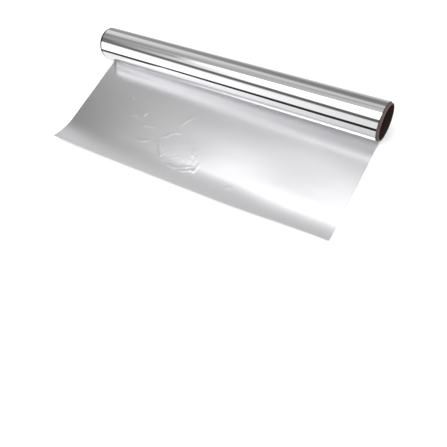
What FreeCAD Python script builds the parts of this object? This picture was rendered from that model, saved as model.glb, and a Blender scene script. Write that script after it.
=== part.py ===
import FreeCAD, Part
import math
import os

# A roll of household aluminium foil lying on its side: a cardboard tube with the foil wound
# on it, and the outer turn drawn out flat in front with its torn edge curled up.
# The origin is the middle of the tube's bore, +X runs along the roll to the right of someone
# who pulls the foil towards them, -Y is the way the foil is pulled, and +Z is up.

# Sizes that can each be set, in millimetres
foil_width = 300.0
core_bore_diameter = 28.0
core_wall = 1.3
core_overhang = 2.0
core_edge_round = 0.3
sheet_thickness = 0.3
turn_slip = 0.4
nip_closure = 0.1
flat_length = 90.0
lip_length_left = 30.0
lip_length_right = 13.0

# How far the torn edge curls up at each side, in degrees
lip_curl_left = 38.0
lip_curl_right = 15.0

# How many turns the winding is drawn with
turn_count = 3

# Sizes that follow from those above
core_radius = core_bore_diameter / 2 + core_wall
core_length = foil_width + 2 * core_overhang
roll_radius = core_radius + turn_count * sheet_thickness
foil_left = -foil_width / 2
foil_right = foil_width / 2
floor_z = -roll_radius
sheet_top = floor_z + sheet_thickness
along_roll = FreeCAD.Vector(1, 0, 0)


def rod(radius, start, end):
    """A solid rod along the roll's axis."""
    return Part.makeCylinder(radius, end - start, FreeCAD.Vector(start, 0, 0), along_roll)


def ring(inner, outer, start, end):
    """A tube along the roll's axis."""
    return rod(outer, start, end).cut(rod(inner, start, end))


def arc(x, centre_y, centre_z, radius, start, end):
    """An arc across the roll, its angles in degrees from straight down, positive towards -Y."""

    def point(degrees):
        turn = math.radians(degrees)
        return FreeCAD.Vector(x, centre_y - radius * math.sin(turn), centre_z - radius * math.cos(turn))

    return Part.Arc(point(start), point((start + end) / 2), point(end)).toShape()


def line(start, end):
    return Part.LineSegment(start, end).toShape()


def core_tube():
    """The cardboard tube, with its cut edges a little rounded."""
    tube = ring(core_bore_diameter / 2, core_radius, -core_length / 2, core_length / 2)
    rims = [edge for edge in tube.Edges if abs(edge.BoundBox.XLength) < core_edge_round]
    return tube.makeFillet(core_edge_round, rims)


def wound_turns():
    """The winding, whose outer turn spirals in by one thickness from the nip round to the nip."""
    back_radius = roll_radius - sheet_thickness / 4
    crest = floor_z + 2 * back_radius
    nip = sheet_top - nip_closure
    front_radius = (crest - nip) / 2
    back = arc(foil_left, 0, floor_z + back_radius, back_radius, 0, -180)
    front = arc(foil_left, 0, nip + front_radius, front_radius, 180, 0)
    closing = line(FreeCAD.Vector(foil_left, 0, nip), FreeCAD.Vector(foil_left, 0, floor_z))
    outline = Part.Wire([back, front, closing])
    return Part.Face(outline).extrude(along_roll * foil_width)


def slipped_turns(turns):
    """The inner turns, each pushed a little further to the right than the one around it."""
    for number in range(turn_count - 1):
        inner = core_radius + number * sheet_thickness
        outer = inner + sheet_thickness
        slip = turn_slip * (turn_count - 1 - number)
        turns = turns.cut(ring(inner, outer, foil_left, foil_left + slip))
        turns = turns.fuse(ring(inner, outer, foil_right, foil_right + slip))
    return turns


def flat_sheet():
    """The part of the drawn-out foil that lies flat."""
    corner = FreeCAD.Vector(foil_left, -flat_length, floor_z)
    return Part.makeBox(foil_width, flat_length, sheet_thickness, corner)


def lip_section(x, length, curl):
    """The outline of the curled lip at one side of the foil."""
    outer_radius = length / math.radians(curl)
    inner_radius = outer_radius - sheet_thickness
    centre_z = floor_z + outer_radius
    under = arc(x, -flat_length, centre_z, outer_radius, 0, curl)
    over = arc(x, -flat_length, centre_z, inner_radius, curl, 0)
    tip = line(under.valueAt(under.LastParameter), over.valueAt(over.FirstParameter))
    root = line(over.valueAt(over.LastParameter), under.valueAt(under.FirstParameter))
    return Part.Wire([under, tip, over, root])


def curled_lip():
    """The torn edge, which curls up more at the left than at the right."""
    left = lip_section(foil_left, lip_length_left, lip_curl_left)
    right = lip_section(foil_right, lip_length_right, lip_curl_right)
    return Part.makeLoft([left, right], True, True)


def foil():
    """The whole foil as one piece: turns, flat run and lip, with the tube's hole through it."""
    hole = rod(core_radius, -core_length, core_length)
    turns = slipped_turns(wound_turns().fuse(flat_sheet()).cut(hole))
    return turns.fuse(curled_lip()).removeSplitter()


os.makedirs("parts", exist_ok=True)
for name, shape in {"core_tube": core_tube(), "foil": foil()}.items():
    shape.exportStep("parts/" + name + ".step")
    box = shape.BoundBox
    print(name, "valid", shape.isValid(), "solids", len(shape.Solids), "volume", round(shape.Volume, 1))
    print("  from", [round(v, 2) for v in (box.XMin, box.YMin, box.ZMin)],
          "to", [round(v, 2) for v in (box.XMax, box.YMax, box.ZMax)])
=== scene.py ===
import bpy
import bmesh
import math
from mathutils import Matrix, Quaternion, Vector, noise


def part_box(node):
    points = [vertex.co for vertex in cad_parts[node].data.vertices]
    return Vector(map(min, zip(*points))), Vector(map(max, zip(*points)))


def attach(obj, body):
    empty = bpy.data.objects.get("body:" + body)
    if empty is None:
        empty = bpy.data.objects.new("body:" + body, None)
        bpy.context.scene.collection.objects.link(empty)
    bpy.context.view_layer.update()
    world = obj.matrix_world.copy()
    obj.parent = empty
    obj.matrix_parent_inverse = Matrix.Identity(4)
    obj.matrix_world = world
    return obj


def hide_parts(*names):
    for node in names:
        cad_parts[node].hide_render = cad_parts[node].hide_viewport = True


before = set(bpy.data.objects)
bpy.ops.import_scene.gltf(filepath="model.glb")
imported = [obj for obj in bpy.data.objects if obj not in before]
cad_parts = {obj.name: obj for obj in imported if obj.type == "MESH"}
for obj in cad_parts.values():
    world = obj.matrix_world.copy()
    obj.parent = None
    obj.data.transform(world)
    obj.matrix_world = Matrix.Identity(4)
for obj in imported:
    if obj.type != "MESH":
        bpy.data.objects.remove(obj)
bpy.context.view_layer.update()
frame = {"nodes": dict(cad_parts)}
print("frame loaded:", ", ".join(frame["nodes"]))

mm = 0.001
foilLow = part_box("foil")[0]
floorHeight = foilLow.z
rollRadius = -floorHeight
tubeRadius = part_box("core_tube")[1].z
foilLeft = foilLow.x
foilRight = -foilLeft  # the foil's box reaches a little further, to the slipped inner turns
foilWidth = foilRight - foilLeft
lyingAlong = (0, math.pi / 2, 0)  # turns an upright cylinder to lie along the roll


# The camera looks down over the right end of the roll, tilted the way the picture was framed, at
# a point of the table. Angles are in degrees, and the lens is in millimetres.
cameraView = {
    "azimuth": 62.54,
    "elevation": 60.57,
    "roll": -34.6,
    "distance": 385.4 * mm,
    "target": (67.0 * mm, -125.3 * mm),
    "lens": 37.2,
    "nearest": 1 * mm,
}


def makeCamera():
    v = cameraView
    azimuth = math.radians(v["azimuth"])
    elevation = math.radians(v["elevation"])
    level = math.cos(elevation)
    back = Vector((math.sin(azimuth) * level, -math.cos(azimuth) * level, math.sin(elevation)))
    target = Vector((*v["target"], floorHeight))
    bpy.ops.object.camera_add(location=target + back * v["distance"])
    camera = bpy.context.object
    camera.name = "camera"
    camera.rotation_mode = "QUATERNION"
    tilt = Quaternion((0, 0, 1), math.radians(v["roll"]))
    camera.rotation_quaternion = back.to_track_quat("Z", "Y") @ tilt
    camera.data.lens = v["lens"]
    camera.data.clip_start = v["nearest"]
    bpy.context.scene.camera = camera


# Helpers for node trees. Wherever they take a value, they also take a socket.
def addNode(tree, kind, **settings):
    node = tree.nodes.new(kind)
    for name, value in settings.items():
        setattr(node, name, value)
    return node


def put(tree, source, target):
    if isinstance(source, bpy.types.NodeSocket):
        tree.links.new(source, target)
    else:
        target.default_value = source


def calculate(tree, operation, a, b=0.0, clamp=False):
    node = addNode(tree, "ShaderNodeMath", operation=operation, use_clamp=clamp)
    put(tree, a, node.inputs[0])
    put(tree, b, node.inputs[1])
    return node.outputs[0]


def oneMinus(tree, value):
    return calculate(tree, "SUBTRACT", 1.0, value)


# 0 below low, 1 above high and a smooth or straight slope between them
def ramped(tree, value, low, high, slope="SMOOTHSTEP"):
    node = addNode(tree, "ShaderNodeMapRange", interpolation_type=slope)
    put(tree, value, node.inputs["Value"])
    node.inputs["From Min"].default_value = low
    node.inputs["From Max"].default_value = high
    return node.outputs["Result"]


# The mix node has two inputs and an output of its own for each kind of value
mixSockets = {"FLOAT": (2, 3, 0), "RGBA": (6, 7, 2)}


def blend(tree, factor, a, b, kind="FLOAT"):
    first, second, result = mixSockets[kind]
    node = addNode(tree, "ShaderNodeMix", data_type=kind)
    put(tree, factor, node.inputs[0])
    put(tree, a, node.inputs[first])
    put(tree, b, node.inputs[second])
    return node.outputs[result]


def blendColours(tree, factor, a, b):
    a, b = (c if isinstance(c, bpy.types.NodeSocket) else (*c, 1) for c in (a, b))
    return blend(tree, factor, a, b, "RGBA")


# Object coordinates in millimetres, stretched by scale
def objectPoint(tree, scale=(1, 1, 1)):
    mapping = addNode(tree, "ShaderNodeMapping")
    mapping.inputs["Scale"].default_value = [s / mm for s in scale]
    tree.links.new(addNode(tree, "ShaderNodeTexCoord").outputs["Object"], mapping.inputs["Vector"])
    return mapping.outputs["Vector"]


# X, Y and Z of the object coordinates, in millimetres
def objectAxes(tree):
    split = addNode(tree, "ShaderNodeSeparateXYZ")
    tree.links.new(objectPoint(tree), split.inputs[0])
    return split.outputs


# Noise from a pattern's scale per millimetre, its detail and, where it has one, its kind
def noiseOf(tree, pattern):
    node = addNode(tree, "ShaderNodeTexNoise", noise_type=pattern.get("kind", "FBM"))
    tree.links.new(objectPoint(tree, pattern["scale"]), node.inputs["Vector"])
    node.inputs["Scale"].default_value = 1.0
    node.inputs["Detail"].default_value = pattern["detail"]
    return node.outputs["Fac"]


def bump(tree, height, distance, below=None):
    node = addNode(tree, "ShaderNodeBump")
    tree.links.new(height, node.inputs["Height"])
    node.inputs["Distance"].default_value = distance
    if below is not None:
        tree.links.new(below, node.inputs["Normal"])
    return node.outputs["Normal"]


def newMaterial(name):
    material = bpy.data.materials.new(name)
    material.use_nodes = True
    return material, material.node_tree, material.node_tree.nodes["Principled BSDF"]


# The light tent round the roll, seen only in reflections. Angles are in degrees round the roll,
# from straight up towards the front, and lengths along it are in millimetres. Each panel has its
# two edges, how soft they are, how many degrees it hangs askew, and its level at the far left and
# at the right, where 1 is paper white. Its end is the share of its level left at the dark end.
tent = {
    "radius": 400 * mm,
    "length": 4000 * mm,
    "sides": 96,
    "base": {"left": 0.50, "right": 0.46},  # the level between the panels
    "fade": (-550.0, 40.0),  # where the levels turn from left to right, for all without their own
    "darkEnd": (-680.0, -515.0),
    "hangsTrue": 0.5,  # the share of the fade at which a panel that hangs askew is in place
    "panels": [
        {"edges": (-190, -104), "soft": 12, "slant": 0, "left": 0.60, "right": 0.60},
        {"edges": (-98, -62), "soft": 12, "slant": 16, "left": 0.32, "right": 0.22},
        {"edges": (-57, -40), "soft": 10, "slant": 14, "left": 0.75, "right": 0.60},
        {"edges": (-41, -31), "soft": 8, "slant": 11, "left": 0.72, "right": 0.36},
        {"edges": (-28, -10), "soft": 8, "slant": 0, "left": 0.28, "right": 0.56, "end": 0.15},
        {"edges": (-7, 30), "soft": 14, "slant": 2, "left": 0.14, "right": 1.75, "end": 0.15},
        {"edges": (-6, 8), "soft": 8, "slant": 0, "left": 0.36, "right": 3.05, "end": 0.3,
         "fade": (-355.0, -155.0)},
        {"edges": (27, 41), "soft": 7, "slant": 12, "left": 0.17, "right": 0.11},
        {"edges": (45, 98), "soft": 9, "slant": 8, "left": 1.50, "right": 0.82},
        {"edges": (86.5, 102), "soft": 3, "slant": -8, "left": 0.06, "right": 0.02},
        {"edges": (103, 190), "soft": 5, "slant": -8, "left": 0.95, "right": 0.85},
    ],
}


# How bright the tent is at each point, one panel laid over the other
def tentLevel(tree):
    x, y, z = objectAxes(tree)
    front = calculate(tree, "MULTIPLY", y, -1.0)
    angle = calculate(tree, "MULTIPLY", calculate(tree, "ARCTAN2", front, z), 180 / math.pi)
    rightness = ramped(tree, x, *tent["fade"], "LINEAR")
    beforeEnd = ramped(tree, x, *tent["darkEnd"])
    level = blend(tree, rightness, tent["base"]["left"], tent["base"]["right"])
    for panel in tent["panels"]:
        low, high = panel["edges"]
        soft = panel["soft"] / 2
        aside = calculate(tree, "SUBTRACT", tent["hangsTrue"], rightness)
        place = calculate(tree, "ADD", angle, calculate(tree, "MULTIPLY", aside, panel["slant"]))
        rise = ramped(tree, place, low - soft, low + soft)
        fall = ramped(tree, place, high - soft, high + soft)
        mask = calculate(tree, "MULTIPLY", rise, oneMinus(tree, fall))
        share = ramped(tree, x, *panel.get("fade", tent["fade"]), "LINEAR")
        own = blend(tree, share, panel["left"], panel["right"])
        own = calculate(tree, "MULTIPLY", own, blend(tree, beforeEnd, panel.get("end", 1.0), 1.0))
        level = blend(tree, mask, level, own)
    return level


def makeTent():
    bpy.ops.mesh.primitive_cylinder_add(vertices=tent["sides"], radius=tent["radius"],
                                        depth=tent["length"], end_fill_type="NOTHING",
                                        rotation=lyingAlong)
    bpy.ops.object.transform_apply(location=True, rotation=True, scale=True)
    shell = bpy.context.object
    shell.name = "light_tent"
    material = bpy.data.materials.new("tent_panels")
    material.use_nodes = True
    material.cycles.emission_sampling = "NONE"
    tree = material.node_tree
    tree.nodes.clear()
    glow = addNode(tree, "ShaderNodeEmission")
    put(tree, tentLevel(tree), glow.inputs["Strength"])
    output = addNode(tree, "ShaderNodeOutputMaterial")
    tree.links.new(glow.outputs[0], output.inputs["Surface"])
    shell.data.materials.append(material)
    shell.visible_camera = False
    shell.visible_diffuse = False
    shell.visible_shadow = False


# The table, the daylight and the lamp above it. None of them shows in reflections.
table = {
    "size": 6.0,
    "drop": 0.05 * mm,  # how far below the foil it lies
    "colour": (0.93, 0.93, 0.93),
    "roughness": 0.9,
    "specular": 0.1,
    "daylight": 1.35,
    "lampAt": (-0.1, -0.05, 0.9),
    "lampSize": 1.1,
    "lampPower": 3.0,
}


def makeTable():
    t = table
    bpy.ops.mesh.primitive_plane_add(size=t["size"], location=(0, 0, floorHeight - t["drop"]))
    floor = bpy.context.object
    floor.name = "table_top"
    floor.visible_glossy = False
    material, tree, shader = newMaterial("table_white")
    shader.inputs["Base Color"].default_value = (*t["colour"], 1)
    shader.inputs["Roughness"].default_value = t["roughness"]
    shader.inputs["Specular IOR Level"].default_value = t["specular"]
    floor.data.materials.append(material)


def makeDaylight():
    t = table
    world = bpy.data.worlds.new("daylight")
    bpy.context.scene.world = world
    world.use_nodes = True
    background = world.node_tree.nodes["Background"]
    background.inputs["Color"].default_value = (1, 1, 1, 1)
    background.inputs["Strength"].default_value = t["daylight"]
    world.cycles_visibility.glossy = False
    bpy.ops.object.light_add(type="AREA", location=t["lampAt"])
    lamp = bpy.context.object
    lamp.name = "overhead_lamp"
    lamp.data.size = t["lampSize"]
    lamp.data.energy = t["lampPower"]
    lamp.visible_glossy = False


# The shiny side of the foil, with faint rolling streaks along its length. At both ends of the
# winding
# a dark band is painted into the colour: painted shade where the foil steps down to the tube. Its
# widths at both ends and how softly it ends are in millimetres. Roughness goes from the first value
# to the second with the clouds.
brightFoil = {
    "colour": (0.92, 0.918, 0.928),
    "roughness": (0.03, 0.06),
    "paintedEndShade": {"colour": (0.15, 0.14, 0.14), "left": 1.6, "right": 0.5, "fade": 0.6},
    "clouds": {"scale": (0.01, 0.2, 0.2), "detail": 2.0},
    "streaks": {"scale": (0.004, 0.5, 0.5), "detail": 4.0, "height": 0.016 * mm},
    "grain": {"scale": (1.5, 1.5, 1.5), "detail": 2.0, "height": 0.0006 * mm},
}


# 1 on the band of painted shade at both ends of the winding, 0 between them
def paintedEndShadeMask(tree):
    edge = brightFoil["paintedEndShade"]
    x = objectAxes(tree)[0]
    leftEnd = foilLeft / mm + edge["left"]
    rightEnd = foilRight / mm - edge["right"]
    atLeft = oneMinus(tree, ramped(tree, x, leftEnd - edge["fade"], leftEnd))
    atRight = ramped(tree, x, rightEnd, rightEnd + edge["fade"])
    return calculate(tree, "MAXIMUM", atLeft, atRight)


def makeBrightFoil():
    material, tree, shader = newMaterial("bright_foil")
    b = brightFoil
    # the near-black band at both ends of the winding is painted shade, not a colour the foil has
    colour = blendColours(tree, paintedEndShadeMask(tree), b["colour"], b["paintedEndShade"]["colour"])
    put(tree, colour, shader.inputs["Base Color"])
    shader.inputs["Metallic"].default_value = 1.0
    put(tree, blend(tree, noiseOf(tree, b["clouds"]), *b["roughness"]), shader.inputs["Roughness"])
    normal = bump(tree, noiseOf(tree, b["streaks"]), b["streaks"]["height"])
    normal = bump(tree, noiseOf(tree, b["grain"]), b["grain"]["height"], normal)
    put(tree, normal, shader.inputs["Normal"])
    return material


# The dull side of the foil, which lies up where it is drawn out. It is crumpled in patches where
# it was pressed by hand. Each has its middle and its reach along and across, in millimetres.
satinFoil = {
    "colour": (0.90, 0.898, 0.913),
    "roughness": (0.29, 0.34),
    "clouds": {"scale": (0.02, 0.05, 0.05), "detail": 2.0},
    "uneven": {"scale": (0.06, 0.08, 0.08), "detail": 2.0, "height": 0.04 * mm},
    "crumple": {"scale": (0.16, 0.2, 0.2), "detail": 2.0, "height": 0.06 * mm,
                "kind": "RIDGED_MULTIFRACTAL"},
    "grain": {"scale": (0.4, 2.5, 2.5), "detail": 2.0, "height": 0.002 * mm},
    "patchCore": 0.1,  # squared share of the reach within which a patch is at its fullest
    "patches": [
        {"middle": (-18.0, -78.0), "reach": (42.0, 24.0)},
        {"middle": (-76.0, -56.0), "reach": (34.0, 24.0)},
    ],
}


# How far a coordinate is from the middle, as a share of the reach, squared
def squaredShare(tree, coordinate, middle, reach):
    share = calculate(tree, "DIVIDE", calculate(tree, "SUBTRACT", coordinate, middle), reach)
    return calculate(tree, "MULTIPLY", share, share)


# 1 in the core of the crumpled patches, fading to 0 at their reach
def crumpledMask(tree):
    axes = objectAxes(tree)
    mask = 0.0
    for patch in satinFoil["patches"]:
        places = zip(axes, patch["middle"], patch["reach"])
        along, across = (squaredShare(tree, *place) for place in places)
        spread = calculate(tree, "ADD", along, across)
        inside = oneMinus(tree, ramped(tree, spread, satinFoil["patchCore"], 1.0))
        mask = calculate(tree, "MAXIMUM", mask, inside)
    return mask


def makeSatinFoil():
    material, tree, shader = newMaterial("satin_foil")
    s = satinFoil
    shader.inputs["Base Color"].default_value = (*s["colour"], 1)
    shader.inputs["Metallic"].default_value = 1.0
    put(tree, blend(tree, noiseOf(tree, s["clouds"]), *s["roughness"]), shader.inputs["Roughness"])
    crumple = calculate(tree, "MULTIPLY", noiseOf(tree, s["crumple"]), crumpledMask(tree))
    normal = bump(tree, noiseOf(tree, s["uneven"]), s["uneven"]["height"])
    normal = bump(tree, crumple, s["crumple"]["height"], normal)
    normal = bump(tree, noiseOf(tree, s["grain"]), s["grain"]["height"], normal)
    put(tree, normal, shader.inputs["Normal"])
    return material


# The board of the tube: greyish brown outside, with painted shade in the bore, where its colour is
# made near black. It is wound from one strip, which leaves a seam. The strip's width and the radii
# between which the painted shade of the bore turns into the outside are in millimetres, and the
# seam's width is a share of the strip's.
tubeBoard = {
    "light": (0.14, 0.10, 0.10),
    "dark": (0.07, 0.048, 0.048),
    "shadedBoreLight": (0.048, 0.030, 0.022),
    "shadedBoreDark": (0.012, 0.006, 0.005),
    "shadedBoreRadius": (14.1, 14.35),
    "stripWidth": 48.0,
    "seamWidth": 0.03,
    "seamShade": 0.35,
    "fibre": {"scale": (0.4, 1.2, 1.2), "detail": 5.0},
    "fibreShare": 0.4,
    "relief": 0.12 * mm,
    "roughness": 0.85,
    "specular": 0.2,
}


def makeTubeBoard():
    material, tree, shader = newMaterial("tube_board")
    t = tubeBoard
    x, y, z = objectAxes(tree)
    turn = calculate(tree, "DIVIDE", calculate(tree, "ARCTAN2", y, z), 2 * math.pi)
    wound = calculate(tree, "ADD", calculate(tree, "DIVIDE", x, t["stripWidth"]), turn)
    seam = oneMinus(tree, ramped(tree, calculate(tree, "FRACT", wound), 0.0, t["seamWidth"]))
    fibre = noiseOf(tree, t["fibre"])
    seamShade = calculate(tree, "MULTIPLY", seam, t["seamShade"])
    shade = calculate(tree, "SUBTRACT", fibre, seamShade, clamp=True)
    outside = blendColours(tree, shade, t["dark"], t["light"])
    # painted shade: the bore gets near-black copies of the board colour, for the shade inside the
    # tube
    inside = blendColours(tree, shade, t["shadedBoreDark"], t["shadedBoreLight"])
    ySquared = calculate(tree, "MULTIPLY", y, y)
    zSquared = calculate(tree, "MULTIPLY", z, z)
    radius = calculate(tree, "SQRT", calculate(tree, "ADD", ySquared, zSquared))
    outwards = ramped(tree, radius, *t["shadedBoreRadius"])
    put(tree, blendColours(tree, outwards, inside, outside), shader.inputs["Base Color"])
    shader.inputs["Roughness"].default_value = t["roughness"]
    shader.inputs["Specular IOR Level"].default_value = t["specular"]
    raised = calculate(tree, "MULTIPLY", fibre, t["fibreShare"])
    height = calculate(tree, "SUBTRACT", raised, seam)
    put(tree, bump(tree, height, t["relief"]), shader.inputs["Normal"])
    return material


# Names the object that was just added and opens its mesh, with nothing selected
def startPiece(name):
    piece = bpy.context.object
    piece.name = name
    bpy.ops.object.mode_set(mode="EDIT")
    bpy.ops.mesh.select_all(action="DESELECT")
    return piece


# Closes a piece of foil, gives it its materials, hangs it on the root body and hides the CAD foil
# that it stands in for
def finishPiece(piece, *materials):
    bpy.ops.object.mode_set(mode="OBJECT")
    bpy.ops.object.transform_apply(location=True, rotation=True, scale=True)
    piece.data.materials.clear()
    for material in materials:
        piece.data.materials.append(material)
    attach(piece, "root")
    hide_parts("foil")


# The wound turns: the outer skin, and at both ends the turn edges, which stand in and out by
# turns, down to the hole for the tube
winding = {
    "segments": 160,
    "endSteps": 5,
    "stepSlip": 0.16 * mm,
    "gap": 0.03 * mm,  # between the tube and the hole
    "near": 0.01 * mm,  # how closely a vertex has to lie on the radius of a rim
    "rimReach": 2 * mm,  # how far from its end of the roll a rim may lie
    "smoothAngle": 20,
}


# Selects the loop of vertices at one end that lies at that distance from the axis
def selectRim(piece, side, radius):
    mesh = bmesh.from_edit_mesh(piece.data)
    for vertex in mesh.verts:
        across = math.hypot(vertex.co.y, vertex.co.z)
        atEnd = side * vertex.co.x > foilRight - winding["rimReach"]
        vertex.select = atEnd and abs(across - radius) < winding["near"]
    mesh.select_flush(True)


# Steps one end of the winding in to the hole. The side is -1 at the left and 1 at the right.
def closeEnd(piece, side):
    w = winding
    radius = rollRadius
    step = (rollRadius - (tubeRadius + w["gap"])) / w["endSteps"]
    for number in range(w["endSteps"]):
        selectRim(piece, side, radius)
        shrink = (radius - step) / radius
        slip = w["stepSlip"] if number % 2 else -w["stepSlip"]
        bpy.ops.mesh.extrude_region_move()
        bpy.ops.transform.resize(value=(1, shrink, shrink), center_override=(0, 0, 0))
        bpy.ops.transform.translate(value=(side * slip, 0, 0))
        radius -= step


def makeWinding(material):
    w = winding
    bpy.ops.object.select_all(action="DESELECT")
    bpy.ops.mesh.primitive_cylinder_add(vertices=w["segments"], radius=rollRadius, depth=foilWidth,
                                        end_fill_type="NOTHING", rotation=lyingAlong)
    bpy.ops.object.transform_apply(location=True, rotation=True, scale=True)
    piece = startPiece("wound_turns")
    closeEnd(piece, -1)
    closeEnd(piece, 1)
    bpy.ops.mesh.select_all(action="DESELECT")
    mesh = bmesh.from_edit_mesh(piece.data)
    for edge in mesh.edges:
        edge.select = edge.is_boundary
    bpy.ops.mesh.bridge_edge_loops()
    bpy.ops.mesh.select_all(action="SELECT")
    bpy.ops.mesh.normals_make_consistent(inside=False)
    finishPiece(piece, material)
    bpy.ops.object.shade_smooth_by_angle(angle=math.radians(w["smoothAngle"]))


# The drawn-out foil, in millimetres and degrees. Left and right are its two sides. The billow is
# how high it stands off the table at each distance from the nip.
drawnFoil = {
    "cutsAlong": 320,
    "cutsAcross": 130,
    "thickness": 0.1,
    "clearance": 0.02,  # to the table
    "flatLength": 88.0,
    "billow": {
        "left": [(0, 0), (40, 0), (82, 0)],
        "right": [(0, 0), (10, 0.08), (16, 0.25), (22, 0.52), (27, 0.72), (33, 0.78), (40, 0.66),
                  (50, 0.38), (60, 0.15), (70, 0.04), (82, 0)],
    },
    "lipLength": {"left": 30.5, "right": 19.0},
    "tornOff": {"length": 3.0, "from": 0.65},  # what the lip lacks at the right, and where it starts
    "lipCurl": {"corner": 27.0, "shoulder": 21.0, "right": 15.0, "cornerShare": 0.2},
    "askew": {"left": 0.6, "right": 2.2},  # how far to the right the torn edge is drawn
    # A slight unevenness, which is full where the foil has settled, that far from the nip
    "wave": {"height": 0.25, "scale": (0.02, 0.03), "level": 3.0, "settledAt": 25.0},
    # A low raised patch, which falls away between its edges, as squared shares of its reach
    "pillow": {"middle": (-13.0, -80.0), "reach": (25.0, 15.0), "edge": (0.2, 1.2), "height": 0.08},
    # How far and how finely the creases are shifted sideways
    "wobble": {"reach": 2.6, "scale": 0.16, "levels": (3.7, 12.4)},
    # How many widths a crease reaches, how it fades at both ends and how finely it varies
    "crease": {"cutOff": 4.0, "endSlope": 5.0, "endShare": 0.1, "unevenScale": 0.35},
    "smoothAngle": 40,
}

# Creases, each with the points it runs through from left to right, its height and its width
creases = [
    {"run": [(-40, -77), (-35, -82), (-28, -88), (-20, -94)], "height": 0.18, "width": 1.1},
    {"run": [(-19, -96), (-6, -96), (5, -93), (14, -88)], "height": 0.12, "width": 1.2},
    {"run": [(0, -74), (8, -80), (14, -86)], "height": 0.12, "width": 1.1},
    {"run": [(-2, -99), (9, -96), (15, -90), (16, -84)], "height": 0.18, "width": 1.2},
    {"run": [(-39, -75), (-30, -66), (-19, -61)], "height": 0.1, "width": 1.3},
    {"run": [(-101, -42), (-93, -48)], "height": 0.19, "width": 1.2},
    {"run": [(-92, -59), (-82, -63), (-74, -63)], "height": 0.17, "width": 1.2},
    {"run": [(-79, -56), (-69, -58), (-68, -52)], "height": 0.17, "width": 1.2},
    {"run": [(-64, -82), (-55, -85), (-48, -80)], "height": 0.12, "width": 1.2},
    {"run": [(-27, -55), (-21, -48), (-18, -38)], "height": 0.11, "width": 1.2},
    {"run": [(-84, -47), (-75, -39)], "height": 0.15, "width": 1.3},
    {"run": [(-65, -71), (-58, -66), (-50, -67)], "height": 0.15, "width": 1.2},
    {"run": [(-101, -54), (-94, -60)], "height": -0.15, "width": 1.3},
    {"run": [(51, -98), (56, -94)], "height": 0.14, "width": 1.1},
]


# 0 below low, 1 above high and a smooth slope between them
def eased(value, low, high):
    share = min(1.0, max(0.0, (value - low) / (high - low)))
    return share * share * (3 - 2 * share)


# The value between the left side, where along is 0, and the right side, where it is 1
def between(sides, along):
    return sides["left"] + (sides["right"] - sides["left"]) * along


# The height of a smooth curve through the points, flat beyond the last one
def curveThrough(points, at):
    if at >= points[-1][0]:
        return points[-1][1]
    index = max(i for i, point in enumerate(points) if point[0] <= at)
    before, start, end = points[max(index - 1, 0)], points[index], points[index + 1]
    after = points[min(index + 2, len(points) - 1)]
    span = end[0] - start[0]
    leave = (end[1] - before[1]) / (end[0] - before[0]) * span
    arrive = (after[1] - start[1]) / (after[0] - start[0]) * span
    t = (at - start[0]) / span
    drop = start[1] - end[1]
    cubed = 2 * drop + leave + arrive
    squared = -3 * drop - 2 * leave - arrive
    return start[1] + t * (leave + t * (squared + t * cubed))


# Length and curl of the lip. It curls up most at its left corner.
def lipAt(along):
    torn, curl = drawnFoil["tornOff"], drawnFoil["lipCurl"]
    length = between(drawnFoil["lipLength"], along)
    length -= torn["length"] * eased(along, torn["from"], 1.0)
    degrees = curl["right"] + (curl["shoulder"] - curl["right"]) * (1 - along)
    degrees += (curl["corner"] - curl["shoulder"]) * (1 - eased(along, 0.0, curl["cornerShare"]))
    return length, math.radians(degrees)


# How far one crease lifts the foil at a point. It fades out at both of its ends and comes and
# goes along its run.
def creaseLift(crease, point):
    run = [Vector(p) for p in crease["run"]]
    nearest, whole = math.inf, 0.0
    for index, (start, end) in enumerate(zip(run, run[1:])):
        span = end - start
        share = min(1.0, max(0.0, (point - start).dot(span) / span.length_squared))
        gap = (point - start - span * share).length
        if gap < nearest:
            nearest = gap
            whole = (index + share) / (len(run) - 1)
    form = drawnFoil["crease"]
    if nearest > form["cutOff"] * crease["width"]:
        return 0.0
    taper = min(1.0, form["endSlope"] * whole * (1 - whole) + form["endShare"])
    uneven = 1 + noise.noise(point.to_3d() * form["unevenScale"])
    return crease["height"] * taper * uneven * math.exp(-((nearest / crease["width"]) ** 2))


# The point shifted a little sideways, so that creases run unevenly. Each direction has its own
# level in the noise.
def wobbled(point):
    wobble = drawnFoil["wobble"]
    place = point * wobble["scale"]
    shift = [noise.noise(Vector((place.x, place.y, level))) for level in wobble["levels"]]
    return point + Vector(shift) * wobble["reach"]


# The height of the pillow, the low raised patch between the creases
def pillowLift(point):
    pillow = drawnFoil["pillow"]
    off = point - Vector(pillow["middle"])
    spread = (off.x / pillow["reach"][0]) ** 2 + (off.y / pillow["reach"][1]) ** 2
    return pillow["height"] * (1 - eased(spread, *pillow["edge"]))


# The slight unevenness of the foil, where run is the distance from the nip
def waveLift(x, y, run):
    wave = drawnFoil["wave"]
    scaleX, scaleY = wave["scale"]
    swell = 1 + noise.noise(Vector((x * scaleX, y * scaleY, wave["level"])))
    return eased(run, 0, wave["settledAt"]) * wave["height"] * swell


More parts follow.
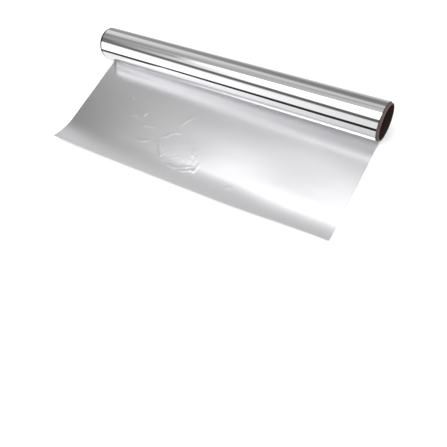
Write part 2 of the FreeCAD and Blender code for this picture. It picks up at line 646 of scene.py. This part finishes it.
# Place of a point of the foil, in metres. Along is its share of the width from the left, and out
# its share of the length from the nip.
def sheetPoint(along, out):
    d = drawnFoil
    lip, curl = lipAt(along)
    run = out * (d["flatLength"] + lip)
    x = (foilLeft + foilWidth * along) / mm + between(d["askew"], along) * out
    y, z = -run, 0.0
    if run > d["flatLength"]:
        turned = (run - d["flatLength"]) / lip * curl
        radius = lip / curl
        y, z = -d["flatLength"] - radius * math.sin(turned), radius * (1 - math.cos(turned))
    z += between({side: curveThrough(points, run) for side, points in d["billow"].items()}, along)
    z += waveLift(x, y, run)
    bent = wobbled(Vector((x, y)))
    z += max(0.0, pillowLift(bent) + sum(creaseLift(crease, bent) for crease in creases))
    return Vector((x * mm, y * mm, floorHeight + (z + d["clearance"]) * mm))


def makeDrawnFoil(topMaterial, underMaterial):
    d = drawnFoil
    bpy.ops.object.select_all(action="DESELECT")
    bpy.ops.mesh.primitive_grid_add(x_subdivisions=d["cutsAlong"], y_subdivisions=d["cutsAcross"],
                                    size=1.0)
    piece = startPiece("drawn_foil")
    mesh = bmesh.from_edit_mesh(piece.data)
    for vertex in mesh.verts:
        vertex.co = sheetPoint(vertex.co.x + 0.5, 0.5 - vertex.co.y)  # the grid spans -0.5 to 0.5
    bmesh.update_edit_mesh(piece.data)
    finishPiece(piece, topMaterial, underMaterial)
    solidify = piece.modifiers.new("thickness", "SOLIDIFY")
    solidify.thickness = d["thickness"] * mm
    solidify.offset = 1.0
    solidify.material_offset = 1
    bpy.ops.object.modifier_apply(modifier="thickness")
    bpy.ops.object.shade_smooth_by_angle(angle=math.radians(d["smoothAngle"]))


makeCamera()
makeTent()
makeTable()
makeDaylight()
print("camera, light tent, table and daylight made")

bright = makeBrightFoil()
satin = makeSatinFoil()
board = makeTubeBoard()
print("materials made")

makeWinding(bright)
print("wound turns made")
makeDrawnFoil(satin, bright)
print("drawn-out foil made")

tube = frame["nodes"]["core_tube"]
tube.data.materials.clear()
tube.data.materials.append(board)
bpy.context.scene.view_settings.view_transform = "Standard"
print("tube dressed")
